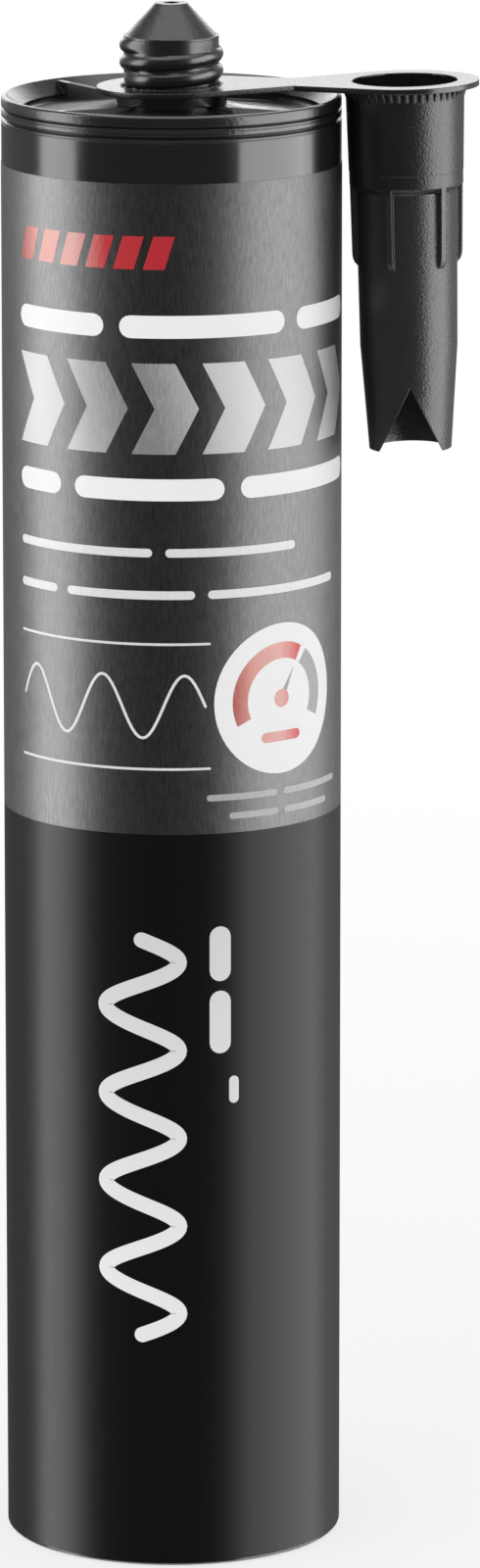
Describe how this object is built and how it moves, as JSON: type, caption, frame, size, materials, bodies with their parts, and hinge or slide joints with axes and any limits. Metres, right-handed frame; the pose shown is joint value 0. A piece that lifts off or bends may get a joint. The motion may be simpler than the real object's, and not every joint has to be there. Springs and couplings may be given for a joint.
{
  "type": "caulk tube",
  "caption": "Plastic sealant cartridge with a printed film, a dished head, a threaded sealed neck and a nozzle tethered to it by a strap, and a piston in its open rear end.",
  "frame": {"origin": "centre of the open rear end, on the cartridge axis, in the plane of the rear rim", "axes": "+Z along the cartridge axis from the open rear end to the neck; +X from the neck to the hanging nozzle; the notch in the nozzle's tip faces -Y"},
  "size_m": [0.0695, 0.0496, 0.2283],
  "materials": {
    "body_plastic": "moulded glossy black polyethylene",
    "label_film": "printed film, brushed grey above and satin black below",
    "sealant": "soft paste",
    "piston_plastic": "natural white polyethylene",
    "nozzle_plastic": "moulded satin black polyethylene with a fine grain"
  },
  "bodies": {
    "cartridge": {"cartridge_body": "body_plastic", "label": "label_film", "sealant_fill": "sealant"},
    "nozzle_set": {"nozzle": "nozzle_plastic"},
    "plunger": {"piston": "piston_plastic"}
  },
  "joints": [
    {"name": "nozzle_swivel", "type": "hinge", "parent": "cartridge", "child": "nozzle_set", "pos_m": [0, 0, 0.216], "axis": [0, 0, 1], "continuous": true},
    {"name": "piston_slide", "type": "slide", "parent": "cartridge", "child": "plunger", "axis": [0, 0, 1], "range_m": [0, 0.17], "deforming": ["sealant_fill"]}
  ]
}
